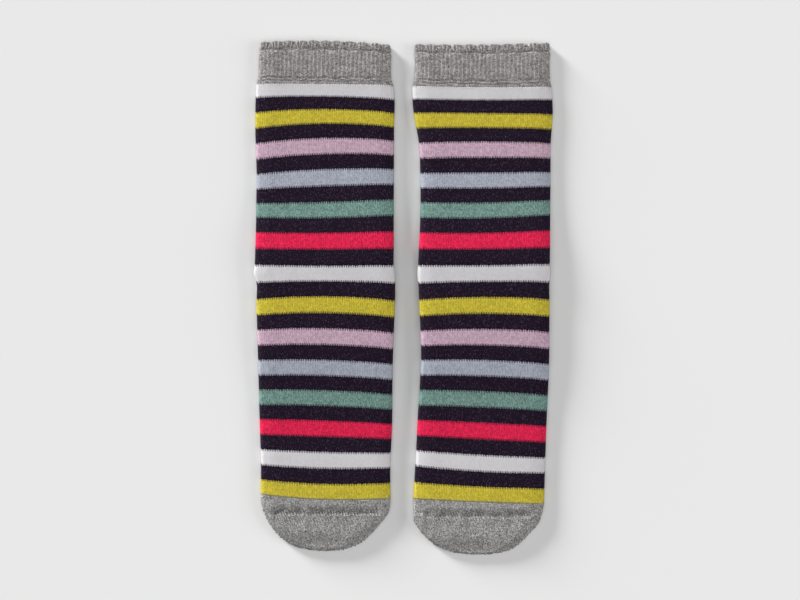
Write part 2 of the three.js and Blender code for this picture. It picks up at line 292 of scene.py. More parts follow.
# whether a closed mesh faces outwards
def facesOut(points, polygons):
    volume = 0.0
    for corners in polygons:
        for k in range(1, corners.shape[1] - 1):
            a, b, c = (points[corners[:, i]] for i in (0, k, k + 1))
            volume += (a * np.cross(b, c)).sum()
    return volume > 0


# Mesh making: polygons come as arrays of vertex numbers, with one array of uv per array of polygons
def makePiece(name, points, polygons, uvs, material):
    if not facesOut(points, polygons):
        polygons = [p[:, ::-1] for p in polygons]
        uvs = [uv[:, ::-1] for uv in uvs]
    mesh = bpy.data.meshes.new(name)
    sizes = np.concatenate([np.full(len(p), p.shape[1]) for p in polygons])
    corners = np.concatenate([p.ravel() for p in polygons])
    mesh.vertices.add(len(points))
    mesh.vertices.foreach_set("co", np.asarray(points, np.float32).ravel())
    mesh.loops.add(len(corners))
    mesh.loops.foreach_set("vertex_index", corners.astype(np.int32))
    mesh.polygons.add(len(sizes))
    starts = np.concatenate([[0], np.cumsum(sizes)[:-1]])
    mesh.polygons.foreach_set("loop_start", starts.astype(np.int32))
    layer = mesh.uv_layers.new(name="knit")
    flat = np.concatenate([np.asarray(uv, np.float32).reshape(-1, 2) for uv in uvs])
    layer.data.foreach_set("uv", flat.ravel())
    mesh.update(calc_edges=True)
    mesh.validate()
    mesh.shade_smooth()
    mesh.materials.append(material)
    piece = bpy.data.objects.new(name, mesh)
    bpy.context.scene.collection.objects.link(piece)
    return piece


# quads between neighbouring rings of a grid, with uv from its wale and course numbers
def gridQuads(rings, count, wales, courses, first=0, flip=False):
    r, k = np.meshgrid(np.arange(rings - 1), np.arange(count), indexing="ij")
    r2, k2 = r + 1, (k + 1) % count
    quads = np.stack([r * count + k, r2 * count + k, r2 * count + k2, r * count + k2], axis=-1)
    u, u2 = k / count * wales, (k + 1) / count * wales
    v, v2 = courses[r], courses[r2]
    uv = np.stack([np.stack(pair, -1) for pair in ((u, v), (u, v2), (u2, v2), (u2, v))], axis=-2)
    if flip:
        quads, uv = quads[..., ::-1], uv[..., ::-1, :]
    return quads.reshape(-1, 4) + first, uv.reshape(-1, 4, 2)


# a wall from a fine outer grid and a coarse inner one, joined at both rims
def wallPiece(name, outer, outerCourses, inner, innerCourses, material, wales=cloth["wales"]):
    rings, count = outer.shape[:2]
    innerRings, innerCount = inner.shape[:2]
    ratio = count // innerCount
    outside = gridQuads(rings, count, wales, outerCourses)
    inside = gridQuads(innerRings, innerCount, wales, innerCourses, rings * count, flip=True)
    polygons, uvs = [outside[0], inside[0]], [outside[1], inside[1]]
    j = np.arange(innerCount)[:, None]
    along = j * ratio + np.arange(ratio + 1)
    for ring, innerRing, flip in ((0, 0, False), (rings - 1, innerRings - 1, True)):
        base = rings * count + innerRing * innerCount
        rim = np.concatenate([ring * count + along % count, base + (j + 1) % innerCount, base + j], axis=1)
        u = np.concatenate([along / count, (j + 1) / innerCount, j / innerCount], axis=1) * wales
        uv = np.stack([u, np.full(u.shape, outerCourses[ring])], axis=-1)
        polygons.append(rim[:, ::-1] if flip else rim)
        uvs.append(uv[:, ::-1] if flip else uv)
    points = np.concatenate([outer.reshape(-1, 3), inner.reshape(-1, 3)])
    return makePiece(name, points, polygons, uvs, material)


# triangles that close a ring on one point
def fan(ring, count, tip, flip=False):
    k = np.arange(count)
    corners = np.stack([ring + k, np.full(count, tip), ring + (k + 1) % count], axis=1)
    return corners[:, ::-1] if flip else corners


def planarUv(points):
    return np.stack([points[..., 0] / cloth["waleWidth"], -points[..., 1] / cloth["courseHeight"]], axis=-1)


# a wall that is open at its first ring and closed on a point at its last one, outside and inside
def cappedPiece(name, outer, inner, material):
    rings, count = outer.shape[:2]
    innerRings, innerCount = inner.shape[:2]
    ratio = count // innerCount
    base = rings * count
    outside = gridQuads(rings, count, 1, np.zeros(rings))[0]
    inside = gridQuads(innerRings, innerCount, 1, np.zeros(innerRings), base, flip=True)[0]
    j = np.arange(innerCount)[:, None]
    along = (j * ratio + np.arange(ratio + 1)) % count
    rim = np.concatenate([along, base + (j + 1) % innerCount, base + j], axis=1)
    tips = np.stack([outer[-1].mean(axis=0), inner[-1].mean(axis=0)])
    points = np.concatenate([outer.reshape(-1, 3), inner.reshape(-1, 3), tips])
    tip = len(points) - 2
    outerCap = fan((rings - 1) * count, count, tip)
    innerCap = fan(base + (innerRings - 1) * innerCount, innerCount, tip + 1, flip=True)
    polygons = [outside, inside, rim, outerCap, innerCap]
    return makePiece(name, points, polygons, [planarUv(points[p]) for p in polygons], material)


# Material helpers
def put(tree, value, socket):
    if isinstance(value, bpy.types.NodeSocket):
        tree.links.new(value, socket)
    elif isinstance(value, tuple):
        socket.default_value = (*value, 1)
    else:
        socket.default_value = value


def maths(tree, operation, *values):
    node = tree.nodes.new("ShaderNodeMath")
    node.operation = operation
    for socket, value in zip(node.inputs, values):
        put(tree, value, socket)
    return node.outputs[0]


def mixColour(tree, factor, first, second, blend="MIX"):
    node = tree.nodes.new("ShaderNodeMix")
    node.data_type = "RGBA"
    node.blend_type = blend
    for number, value in ((0, factor), (6, first), (7, second)):
        put(tree, value, node.inputs[number])
    return node.outputs[2]


def shaded(tree, colour, shade):
    return mixColour(tree, 1.0, colour, shade, "MULTIPLY")


def noise(tree, vector, scale, detail=2.0, roughness=0.5):
    node = tree.nodes.new("ShaderNodeTexNoise")
    node.inputs["Scale"].default_value = scale
    node.inputs["Detail"].default_value = detail
    node.inputs["Roughness"].default_value = roughness
    tree.links.new(vector, node.inputs["Vector"])
    return node.outputs["Fac"]


def stretched(tree, vector, scale):
    node = tree.nodes.new("ShaderNodeMapping")
    node.inputs["Scale"].default_value = scale
    tree.links.new(vector, node.inputs["Vector"])
    return node.outputs["Vector"]


def remap(tree, value, low, high, to=(0.0, 1.0)):
    node = tree.nodes.new("ShaderNodeMapRange")
    node.interpolation_type = "SMOOTHSTEP"
    tree.links.new(value, node.inputs["Value"])
    for name, number in zip(("From Min", "From Max", "To Min", "To Max"), (low, high, *to)):
        node.inputs[name].default_value = number
    return node.outputs["Result"]


knit = {
    "specular": 0.06,
    "sheen": 0.03,
    "sheenRoughness": 0.55,
    "bump": 0.35 * mm,
    "bumpStrength": 0.6,
    "foldShade": 0.69,  # painted shade: brightness left on cloth that stands upright
    "foldUntil": 0.85,  # upward part of the normal where it is fully lit
}


def knitMaterial(name, roughness, sheen=knit["sheen"]):
    material = bpy.data.materials.new(name)
    material.use_nodes = True
    tree = material.node_tree
    shader = tree.nodes["Principled BSDF"]
    shader.inputs["Roughness"].default_value = roughness
    shader.inputs["Specular IOR Level"].default_value = knit["specular"]
    shader.inputs["Sheen Weight"].default_value = sheen
    shader.inputs["Sheen Roughness"].default_value = knit["sheenRoughness"]
    uv = tree.nodes.new("ShaderNodeUVMap")
    uv.uv_map = "knit"
    split = tree.nodes.new("ShaderNodeSeparateXYZ")
    tree.links.new(uv.outputs["UV"], split.inputs["Vector"])
    place = tree.nodes.new("ShaderNodeTexCoord").outputs["Object"]
    return material, tree, shader, split.outputs["X"], split.outputs["Y"], place


# painted shade: colour darkens where the cloth's normal turns sideways, as along the side folds
def paintedFoldShade(tree, colour):
    split = tree.nodes.new("ShaderNodeSeparateXYZ")
    tree.links.new(tree.nodes.new("ShaderNodeNewGeometry").outputs["Normal"], split.inputs["Vector"])
    shade = remap(tree, split.outputs["Z"], 0.0, knit["foldUntil"], (knit["foldShade"], 1.0))
    return shaded(tree, colour, shade)


def waleNumber(tree, u):
    return maths(tree, "FLOOR", maths(tree, "ADD", u, 0.5))


# 0 at the middle of a wale and 1 between two wales
def fromWale(tree, u):
    inside = maths(tree, "FRACT", maths(tree, "ADD", u, 0.5))
    return maths(tree, "MULTIPLY", maths(tree, "ABSOLUTE", maths(tree, "SUBTRACT", inside, 0.5)), 2.0)


# the height of plain knit: two legs to a stitch, which open towards the toe
def stitchHeight(tree, side, v, lean=0.8):
    across = maths(tree, "SINE", maths(tree, "MULTIPLY", side, math.pi))
    along = maths(tree, "FRACT", maths(tree, "SUBTRACT", v, maths(tree, "MULTIPLY", side, lean)))
    along = maths(tree, "SINE", maths(tree, "MULTIPLY", along, math.pi))
    return maths(tree, "SQRT", maths(tree, "MULTIPLY", maths(tree, "MAXIMUM", across, 0.0), along))


# a brightness of its own for each stitch
def stitchShade(tree, u, v, contrast):
    cell = tree.nodes.new("ShaderNodeCombineXYZ")
    tree.links.new(waleNumber(tree, u), cell.inputs["X"])
    tree.links.new(maths(tree, "FLOOR", v), cell.inputs["Y"])
    random = tree.nodes.new("ShaderNodeTexWhiteNoise")
    random.noise_dimensions = "2D"
    tree.links.new(cell.outputs["Vector"], random.inputs["Vector"])
    shade = maths(tree, "MULTIPLY", random.outputs["Value"], 2 * contrast)
    return maths(tree, "ADD", shade, 1.0 - contrast)


def addBump(tree, shader, height):
    bump = tree.nodes.new("ShaderNodeBump")
    bump.inputs["Distance"].default_value = knit["bump"]
    bump.inputs["Strength"].default_value = knit["bumpStrength"]
    tree.links.new(height, bump.inputs["Height"])
    tree.links.new(bump.outputs["Normal"], shader.inputs["Normal"])


marl = {
    "light": (0.442, 0.425, 0.417),
    "dark": (0.136, 0.130, 0.1285),
    "fibreScale": (2200, 1700, 2200),  # flecks to a metre, longer along the wales
    "fibreEdges": (0.37, 0.63),  # where a fleck turns from dark to light
    "patchScale": 160.0,
    "patches": (0.93, 1.06),
    "roughness": 0.92,
}


# grey marl: light and dark fibres spun together
def marlColour(tree, place):
    fine = noise(tree, stretched(tree, place, marl["fibreScale"]), 1.0, 2.0, 0.6)
    fleck = remap(tree, fine, *marl["fibreEdges"])
    colour = mixColour(tree, fleck, marl["dark"], marl["light"])
    patch = noise(tree, place, marl["patchScale"], 2.0)
    return shaded(tree, colour, remap(tree, patch, 0.3, 0.7, marl["patches"]))


# grains to a wale, how much they vary, a tint, and painted brightness on a wale and between two, standing
# in for the knit's relief
def makeMarl(name, grains, contrast, tint, paintedLineShade=(1.0, 1.0)):
    material, tree, shader, u, v, place = knitMaterial(name, marl["roughness"])
    side = fromWale(tree, u)
    colour = shaded(tree, marlColour(tree, place), tint)
    # painted shade and painted highlight across each wale
    colour = shaded(tree, colour, remap(tree, side, 0.1, 0.9, paintedLineShade))
    colour = shaded(tree, colour, stitchShade(tree, maths(tree, "MULTIPLY", u, grains), v, contrast))
    # painted shade on the side folds
    tree.links.new(paintedFoldShade(tree, colour), shader.inputs["Base Color"])
    addBump(tree, shader, stitchHeight(tree, side, v))
    return material


# the stripes' colour from wale and course, with grey beyond both ends of the tube; then whether it is
# a coloured stripe, and how strongly the stitches show
def stripeColour(tree, u, v, side, place):
    jitter = tree.nodes.new("ShaderNodeTexWhiteNoise")
    jitter.noise_dimensions = "1D"
    tree.links.new(waleNumber(tree, u), jitter.inputs["W"])
    teeth = remap(tree, side, 0.25, 0.75, (-stripes["teeth"] / 2, stripes["teeth"] / 2))
    uneven = maths(tree, "SUBTRACT", jitter.outputs["Value"], 0.5)
    uneven = maths(tree, "MULTIPLY", uneven, stripes["jitter"])
    course = maths(tree, "SUBTRACT", v, maths(tree, "ADD", teeth, uneven))
    number = maths(tree, "FLOOR", maths(tree, "DIVIDE", course, stripeCourses))
    within = maths(tree, "SUBTRACT", course, maths(tree, "MULTIPLY", number, stripeCourses))
    count = len(stripes["colours"])
    ramp = tree.nodes.new("ShaderNodeValToRGB")
    ramp.color_ramp.interpolation = "CONSTANT"
    while len(ramp.color_ramp.elements) < count:
        ramp.color_ramp.elements.new(1.0)
    # each colour starts a little early, so that rounding can't miss it
    for k, (_, colour, strength) in enumerate(stripes["colours"]):
        ramp.color_ramp.elements[k].position = max(0.0, (k - 0.3) / count)
        ramp.color_ramp.elements[k].color = (*colour, strength)
    tree.links.new(maths(tree, "FRACT", maths(tree, "DIVIDE", number, count)), ramp.inputs["Fac"])
    coloured = maths(tree, "LESS_THAN", within, stripes["colourCourses"])
    colour = mixColour(tree, coloured, stripes["dark"], ramp.outputs["Color"])
    beyond = maths(tree, "MAXIMUM", maths(tree, "LESS_THAN", course, 0.0),
                   maths(tree, "GREATER_THAN", course, tubeCourses))
    stitches = maths(tree, "MULTIPLY", ramp.outputs["Alpha"], coloured)
    stitches = maths(tree, "MAXIMUM", stitches, maths(tree, "SUBTRACT", stripes["darkStitches"], coloured))
    full, gone, most = stripes["greyAtStart"]
    first = remap(tree, course, full, gone, (most, 0.0))
    full, gone, most = stripes["greyAtEnd"]
    last = remap(tree, course, tubeCourses - gone, tubeCourses - full, (0.0, most))
    grey = maths(tree, "MAXIMUM", beyond, maths(tree, "MAXIMUM", first, last))
    return mixColour(tree, grey, colour, marlColour(tree, place)), coloured, stitches


striped = {
    "roughness": 0.9,
    "stitchContrast": 0.36,  # in the stripe where the stitches show most
    "paintedWaleShade": (1.06, 0.84),  # painted highlight on a wale and painted shade between two
    "mottle": (0.90, 1.09),
    "mottleScale": 420.0,
    "least": 0.2,  # share of both where stitches hardly show
    "fleck": (0.115, 0.077, 0.135),  # pale loose fibre on the dark stripes
    "fleckScale": (1300, 900, 1300),
    "fleckEdges": (0.52, 0.74),
    "fleckShare": 0.45,
}


def makeStriped(name):
    material, tree, shader, u, v, place = knitMaterial(name, striped["roughness"])
    side = fromWale(tree, u)
    colour, coloured, stitches = stripeColour(tree, u, v, side, place)
    depth = remap(tree, stitches, 0.0, 0.5, (striped["least"], 1.0))
    # painted highlight on each wale and painted shade between wales, standing in for the knit's relief
    paintedWaleShade = remap(tree, side, 0.1, 1.0, striped["paintedWaleShade"])
    mottle = noise(tree, place, striped["mottleScale"], 3.0, 0.6)
    mottle = remap(tree, mottle, 0.3, 0.7, striped["mottle"])
    grain = stitchShade(tree, maths(tree, "MULTIPLY", u, 2.0), v, striped["stitchContrast"])
    for part, shade in ((depth, paintedWaleShade), (depth, mottle), (stitches, grain)):
        colour = mixColour(tree, part, colour, shaded(tree, colour, shade))
    fibre = noise(tree, stretched(tree, place, striped["fleckScale"]), 1.0, 2.0)
    fibre = remap(tree, fibre, *striped["fleckEdges"], (0.0, striped["fleckShare"]))
    fibre = maths(tree, "MULTIPLY", fibre, maths(tree, "SUBTRACT", 1.0, coloured))
    colour = mixColour(tree, fibre, colour, striped["fleck"])
    # painted shade on the side folds
    tree.links.new(paintedFoldShade(tree, colour), shader.inputs["Base Color"])
    addBump(tree, shader, stitchHeight(tree, side, v))
    return material


looseFibre = {
    "roughness": 0.8,
    "pale": (0.5, 0.48, 0.5),
    "palerBy": 0.35,
}


def makeFibre(name):
    material, tree, shader, u, v, place = knitMaterial(name, looseFibre["roughness"], 0.0)
    colour = stripeColour(tree, u, v, fromWale(tree, u), place)[0]
    pale = mixColour(tree, looseFibre["palerBy"], colour, looseFibre["pale"])
    tree.links.new(pale, shader.inputs["Base Color"])
    return material


# the rib gets painted shade on the middle of each wale and painted highlight between them
ribMaterial = makeMarl("greyMarlRib", 1.0, 0.34, (1.02, 1.0, 1.01), (0.92, 1.08))
heelMaterial = makeMarl("greyMarlHeel", 2.0, 0.42, (1.0, 1.0, 1.0))
toeMaterial = makeMarl("greyMarlToe", 2.0, 0.40, (0.995, 1.02, 1.012))
stripeMaterial = makeStriped("stripedKnit")
fibreMaterial = makeFibre("looseFibre")
print("materials made")

cuff = {
    "ribs": 66,
    "pointsPerRib": 8,
    "ringsPerCourse": 2.5,
    "innerRings": [0, 8, 16, 24, 30],  # courses above the seam
    "lip": 5,  # rings that turn over the edge
    "lipRound": 0.35,
    "ribDepth": 0.30 * mm,
    "ribWander": 0.2,  # how far ribs stray, in ribs
    "legDepth": 0.14 * mm,  # groove between the two legs of a rib's stitches
    "legWidth": 0.25,
    "fuller": 0.3 * mm,  # how far the ribs stand out beyond the plain tube
    "fullerBy": 4,
    "tucked": 0.05 * mm,  # how far the first course lies below the plain tube
    "stitchDepth": 0.17 * mm,
    "stitchLean": 0.7,  # courses that a stitch rises by towards the hollow
    "stitchLess": 0.6,  # how much shallower it is there
    "scallops": 22,
    "scallopDepth": 0.75 * mm,
    "scallopFrom": 27.0,  # courses above the seam
    "scallopBack": 0.5 * mm,
    "scallopWander": 0.16,
    "scallopVaries": 0.7,
    "faceWander": 1.4,  # courses that the grooves round the cuff stray by
    "faceVaries": (0.75, 0.9),  # share of their depth, and what bumps add
    "strands": 4,  # yarns that fan out in each scallop
    "strandDepth": 0.42 * mm,
    "fan": (0.7, 0.5),  # their spread below, and what the edge adds
    "fanVaries": 0.1,
    # sizes of the bumps, and the seed where both socks share it
    "round": 164 * mm,  # the way round
    "ribBumps": 12 * mm,
    "weltBumps": 9 * mm,
    "faceBumps": (6 * mm, 57),
    "scallopBumps": (21 * mm, 12),
    "fanBumps": (30 * mm, 5),
    # courses above the seam, how many mm the face stands back, share of the ribs' depth
    "rows": [
        (0, 0, 0.1), (1.4, 0, 0.15), (2.3, 0.6, 0.3), (3.3, 0.05, 0.4), (4.5, 0.7, 0.6),
        (5.8, 0, 0.9), (7, 0, 1), (24, 0, 1), (25.6, 0.2, 1), (26.8, 0.8, 0.8),
        (28.2, 0.1, 0.7), (31, 0, 0.7), (33, 0.2, 0.5),
    ],
}
cuffCourses = 33


# bumps round the cuff, the same for every course
def aroundCuff(share, size, seed):
    return unevenness(share * cuff["round"], share * 0, size, seed)


# how far the cuff's face stands back, its scallops' wave, and how much each course has of it
def cuffRelief(sock, above, share):
    up = column(above)
    around = share * cuff["round"]
    stray = unevenness(around, up * cloth["courseHeight"], cuff["ribBumps"], sock["ribSeed"])
    rib = share * cuff["ribs"] + cuff["ribWander"] * stray
    hollow = halfWave(rib)  # 0 on a rib, 1 between two
    fromRib = np.abs((rib + 0.5) % 1 - 0.5) * 2
    heights, faces, ribShares = (np.array(values) for values in zip(*cuff["rows"]))
    stitch = halfWave(up + cuff["stitchLean"] * fromRib)
    # grooves round the cuff that wander and change in depth
    wander = aroundCuff(share, cuff["weltBumps"], sock["weltSeed"])
    face = np.interp(up + cuff["faceWander"] * wander, heights, faces * mm)
    usual, more = cuff["faceVaries"]
    back = face * (usual + more * aroundCuff(share, *cuff["faceBumps"]))
    back = back + cuff["ribDepth"] * column(np.interp(above, heights, ribShares)) * hollow
    back = back + cuff["legDepth"] * np.maximum(0, 1 - fromRib / cuff["legWidth"])
    back = back + cuff["tucked"] - (cuff["fuller"] + cuff["tucked"]) * smoothstep(up / cuff["fullerBy"])
    back = back + cuff["stitchDepth"] * stitch * (1 - cuff["stitchLess"] * hollow)
    turns = share * cuff["scallops"] + cuff["scallopWander"] * wander
    bumps = 1 + cuff["scallopVaries"] * aroundCuff(share, *cuff["scallopBumps"])
    wave = (np.abs(np.sin(math.pi * turns)) - 1) * bumps
    inWelt = fade(up, cuff["scallopFrom"], cuffCourses)
    back = back + inWelt * cuff["scallopBack"] * (wave ** 2)
    narrow, wider = cuff["fan"]
    bumps = cuff["fanVaries"] * aroundCuff(share, *cuff["fanBumps"])
    spread = (turns % 1 - 0.5) / (narrow + wider * inWelt) + bumps
    inStrands = smoothstep((up - cuff["scallopFrom"] + 1) / 2)
    back = back + cuff["strandDepth"] * halfWave(cuff["strands"] * spread) * inStrands
    return back, wave, inWelt


def makeCuff(sock):
    count = cuff["ribs"] * cuff["pointsPerRib"]
    rings = int(cuffCourses * cuff["ringsPerCourse"]) + 1
    above = np.linspace(0, cuffCourses, rings)
    share = sharesOf(count)
    back, wave, inWelt = cuffRelief(sock, above, share)
    section = sectionAt(sock, -column(above))
    outer = wallPoints(sock, section, tubeThick, share, back)
    outer[..., 1] += inWelt * cuff["scallopDepth"] * wave
    # the edge turns over in a half round to the inside
    top = sectionAt(sock, np.array([[-cuffCourses]], float))
    lip = []
    for turn in np.linspace(0, math.pi, cuff["lip"] + 2)[1:-1]:
        inwards = cloth["wall"] * (1 - math.cos(turn)) / 2
        ring = wallPoints(sock, top, tubeThick, share, back[-1:] * (1 + math.cos(turn)) / 2 + inwards)
        ring[..., 1] += cuff["lipRound"] * cloth["wall"] * math.sin(turn) + cuff["scallopDepth"] * wave
        lip.append(ring)
    outer = np.concatenate([outer, *lip])
    courses = -np.concatenate([above, np.full(cuff["lip"], cuffCourses)])
    innerAbove = np.array([*cuff["innerRings"], cuffCourses], float)
    inner = wallPoints(sock, sectionAt(sock, -column(innerAbove)), cloth["slit"], sharesOf(cuff["ribs"]))
    inner[-1, :, 1] += cuff["scallopDepth"] * wave[0, :: cuff["pointsPerRib"]]
    wales = 2 * cuff["ribs"]
    piece = wallPiece(sock["name"] + "CuffRib", outer, courses, inner, -innerAbove, ribMaterial, wales)
    # courses less than 0 make the loose fibres grey
    return piece, (tubeRound, cuffCourses * cloth["courseHeight"]), (outer, courses - 1.0)


leg = {
    "pointsPerWale": 2,
    "ringCourses": 1.4,
    "innerEvery": 5,  # outer points to an inner one
    "innerRings": 60,
    "waleDepth": 0.28 * mm,
    "uneven": 0.22 * mm,
    "unevenSize": 26 * mm,
    "evenEnds": 12,  # courses over which that fades
}


def makeLeg(sock):
    count = cloth["wales"] * leg["pointsPerWale"]
    rings = int(tubeCourses / leg["ringCourses"]) + 1
    courses = np.linspace(0, tubeCourses, rings)
    share = sharesOf(count)
    section = sectionAt(sock, column(courses))
    plain = wallPoints(sock, section, tubeThick, share)
    soft = unevenness(plain[..., 0], plain[..., 1], leg["unevenSize"], sock["legSeed"])
    fromEnd = smoothstep(column(np.minimum(courses, tubeCourses - courses)) / leg["evenEnds"])
    onTop = smoothstep(flatRing(section["half"], tubeThick, share)[3])
    back = leg["waleDepth"] * halfWave(share * cloth["wales"])
    lift = leg["uneven"] * soft * fromEnd * onTop
    outer = wallPoints(sock, section, tubeThick, share, back, lift)
    innerCourses = np.linspace(0, tubeCourses, leg["innerRings"])
    innerShare = sharesOf(count // leg["innerEvery"])
    inner = wallPoints(sock, sectionAt(sock, column(innerCourses)), cloth["slit"], innerShare)
    piece = wallPiece(sock["name"] + "LegKnit", outer, courses, inner, innerCourses, stripeMaterial)
    return piece, (tubeRound, tubeCourses * cloth["courseHeight"]), (outer, courses)


toe = {
    "points": 560,
    "rings": 90,
    "ringsCloser": 1.5,  # towards the tip, as an exponent
    "upperRings": 16,
    "innerEvery": 5,
    "innerDown": [0, 0.2, 0.41, 0.55, 0.65, 0.76, 0.86, 0.93],
    "cutShare": 0.8,  # of the rectangle round its pattern
    "tipWidth": 0.04,  # as shares of the width and thickness above
    "tipThick": 0.17,
    "tipThinner": 0.3,  # how much lower it lies there
    "tipReach": 8 * mm,
    "uneven": 0.2 * mm,
    "unevenSize": 14 * mm,
    "unevenFrom": (-0.1, 0.2),
    "startBack": 0.09 * mm,  # how far its first course stands back, to meet the striped knit
    "startCourses": 3,
    # The linked seam: the cloth sinks in above it and stays a little lower for a while below.
    # Places down the toe are shares of its length.
    "sinkFrom": -0.08,
    "sinkTo": 0.11,
    "seamDown": 0.17,
    "riseUntil": 0.6,
    "sink": 1.0 * mm,
    "below": 0.4 * mm,
    "seamReach": 0.86,  # as a share of half the width
    "seamFade": 0.08,
    "seamPitch": 1.75 * mm,
    "seamLean": 0.5,
    "patchSize": 9 * mm,
    "patches": (0.15, 0.7, 1.2),  # least and usual share of its depth, and what bumps add
    "strokeDepth": 0.8 * mm,  # grooves between the linked stitches
    "knots": 0.9 * mm,  # small bumps of yarn along the outline
    "knotSize": 1.7 * mm,
    "knotSeed": 17,
    "knotsAtTip": (0.6, 0.9),  # from none to full across the tip
    "creaseEnds": 0.35,  # share of a trough that fades at each end
    # soft troughs in the front: x and y of both ends as shares of half the width and of the toe's
    # length, then width and depth in mm
    "leftCreases": [
        (-0.80, 0.11, -0.62, -0.02, 1.3, 1.2),
        (-0.26, 0.07, -0.02, 0.09, 1.3, 0.7),
        (0.13, 0.08, 0.29, 0.07, 1.3, 0.7),
        (0.44, 0.06, 0.54, 0.09, 1.3, 0.8),
        (0.62, 0.10, 0.80, 0.03, 1.4, 0.3),
        (-0.36, 0.86, -0.14, 0.75, 2.0, 0.5),
        (-0.14, 0.75, 0.16, 0.78, 2.0, 0.4),
        (0.60, 0.62, 0.74, 0.45, 1.6, 0.3),
    ],
    "rightCreases": [
        (-0.97, 0.04, -0.80, 0.07, 1.2, 0.5),
        (-0.66, 0.06, -0.46, 0.03, 1.5, 0.5),
        (-0.05, 0.04, 0.04, 0.07, 1.5, 0.7),
        (0.47, 0.01, 0.72, 0.08, 1.5, 0.8),
        (0.20, 0.09, 0.36, 0.08, 1.4, 0.3),
        (-0.40, 0.80, 0.20, 0.86, 3.0, 0.3),
    ],
}


# how deep the soft troughs are at a point
def creaseDepth(x, y, creases, placeOf):
    depth = np.zeros(x.shape)
    for x1, y1, x2, y2, width, deep in creases:
        ax, ay = placeOf(x1, y1)
        bx, by = placeOf(x2, y2)
        length = math.hypot(bx - ax, by - ay)
        ux, uy = (bx - ax) / length, (by - ay) / length
        along = ((x - ax) * ux + (y - ay) * uy) / length
        aside = (x - ax) * uy - (y - ay) * ux
        past = np.maximum(0, np.abs(along - 0.5) - toe["creaseEnds"]) / toe["creaseEnds"]
        depth += deep * mm * np.exp(-((aside / (width * mm)) ** 2) - past**2 * 3)
    return depth


# what the seam and the soft troughs add to the height of a toe's front
def toeRelief(sock, middle, half, shoulderY, length, x, y):
    down = (shoulderY - y) / length
    across = np.abs(x - middle) / half
    least, usual, more = toe["patches"]
    patch = np.maximum(least, usual + more * unevenness(x, x * 0, toe["patchSize"], sock["toeSeed"]))
    strokes = halfWave((x + toe["seamLean"] * y) / toe["seamPitch"])
    turning = fade(down, toe["sinkTo"], toe["seamDown"])
    sinking = fade(down, toe["sinkFrom"], toe["sinkTo"]) * (1 - turning)
    rising = turning * (1 - fade(down, toe["seamDown"], toe["riseUntil"]))
    reach = smoothstep((toe["seamReach"] - across) / toe["seamFade"])
    relief = -toe["below"] * rising * patch - toe["sink"] * sinking * patch
    relief = (relief - toe["strokeDepth"] * strokes * (sinking + 0.5 * rising)) * reach

    def placeOf(part, share):
        return middle + part * half, shoulderY - length * share

    relief = relief - creaseDepth(x, y, toe[sock["name"] + "Creases"], placeOf)
    soft = unevenness(x, y, toe["unevenSize"], sock["toeSeed"]) * fade(down, *toe["unevenFrom"])
    return relief + toe["uneven"] * soft


def makeToe(sock):
    last = float(sock["sections"][-1][0])
    start = sectionAt(sock, np.array([[float(tubeCourses)]]))
    shoulder = sectionAt(sock, np.array([[last]]))
    middle, half, shoulderY = (float(shoulder[key][0, 0]) for key in ("middle", "half", "yMiddle"))
    length = shoulderY - sock["tipY"]

    def reliefAt(x, y, outZ):
        return toeRelief(sock, middle, half, shoulderY, length, x, y) * smoothstep(outZ)

    def ringsDown(down, thick, narrower, share):
        width = np.maximum(toe["tipWidth"], columnAt(sock["toe"], toeColumns["width"], down))
        width = np.maximum(half * width - narrower, thick / 2)
        centre = middle + half * columnAt(sock["toe"], toeColumns["aside"], down)
        yMiddle = shoulderY - length * down + narrower * down
        keep = 1 - down**2
        section = {
            "yMiddle": yMiddle,
            "yLeft": yMiddle + (shoulder["yLeft"] - shoulderY) * keep,
            "yRight": yMiddle + (shoulder["yRight"] - shoulderY) * keep,
        }
        x, z, _, outZ = flatRing(width, thick, share)
        swell = 1 + cloth["crown"] * np.maximum(0, 1 - (x / half) ** 2) * (1 - down**3)
        y = courseY(section, x / width)
        if not narrower:
            knot = toe["knots"] * unevenness(x, y, toe["knotSize"], toe["knotSeed"]) * fade(down, 0, 0.1)
            x = x + knot * np.sign(x) * (x / width) ** 4
            y = y - knot * fade(down, *toe["knotsAtTip"])
        height = (z + tubeThick / 2) * swell * pressed(width + narrower - np.abs(x))
        fromTip = length * (1 - down)
        height = height * (1 - toe["tipThinner"] * np.exp(-((fromTip / toe["tipReach"]) ** 2)))
        if not narrower:
            height = height + reliefAt(centre + x, y, outZ)
        return np.stack([centre + x, y, height], axis=-1)

    def thickAt(down):
        fromTip = np.maximum(0, 1 - length * (1 - down) / (tubeThick / 2))
        return tubeThick * np.sqrt(np.maximum(toe["tipThick"] ** 2, 1 - fromTip**2))

    share = sharesOf(toe["points"])
    down = column(1 - (1 - np.linspace(0, 1, toe["rings"])) ** toe["ringsCloser"])
    course = column(np.linspace(tubeCourses, last, toe["upperRings"])[:-1])
    between = sectionAt(sock, course)
    plain = wallPoints(sock, between, tubeThick, share)
    outZ = flatRing(between["half"], tubeThick, share)[3]
    begun = smoothstep((course - tubeCourses) / toe["startCourses"])
    back = toe["startBack"] * (1 - begun)
    lift = reliefAt(plain[..., 0], plain[..., 1], outZ) * begun
    upper = wallPoints(sock, between, tubeThick, share, back, lift)
    outer = np.concatenate([upper, ringsDown(down, thickAt(down), 0, share)])
    innerShare = share[:, :: toe["innerEvery"]]
    innerDown = column(toe["innerDown"])
    innerTop = wallPoints(sock, start, cloth["slit"], innerShare)
    inner = np.concatenate([innerTop, ringsDown(innerDown, cloth["slit"], cloth["wall"], innerShare)])
    piece = cappedPiece(sock["name"] + "ToePocket", outer, inner, toeMaterial)
    flat = (4 * half, length + (last - tubeCourses) * cloth["courseHeight"])
    # courses beyond the tube make the loose fibres grey
    courses = np.full(len(outer), tubeCourses + 9.0)
    return piece, flat, toe["cutShare"] * flat[0] * flat[1], (outer, courses)


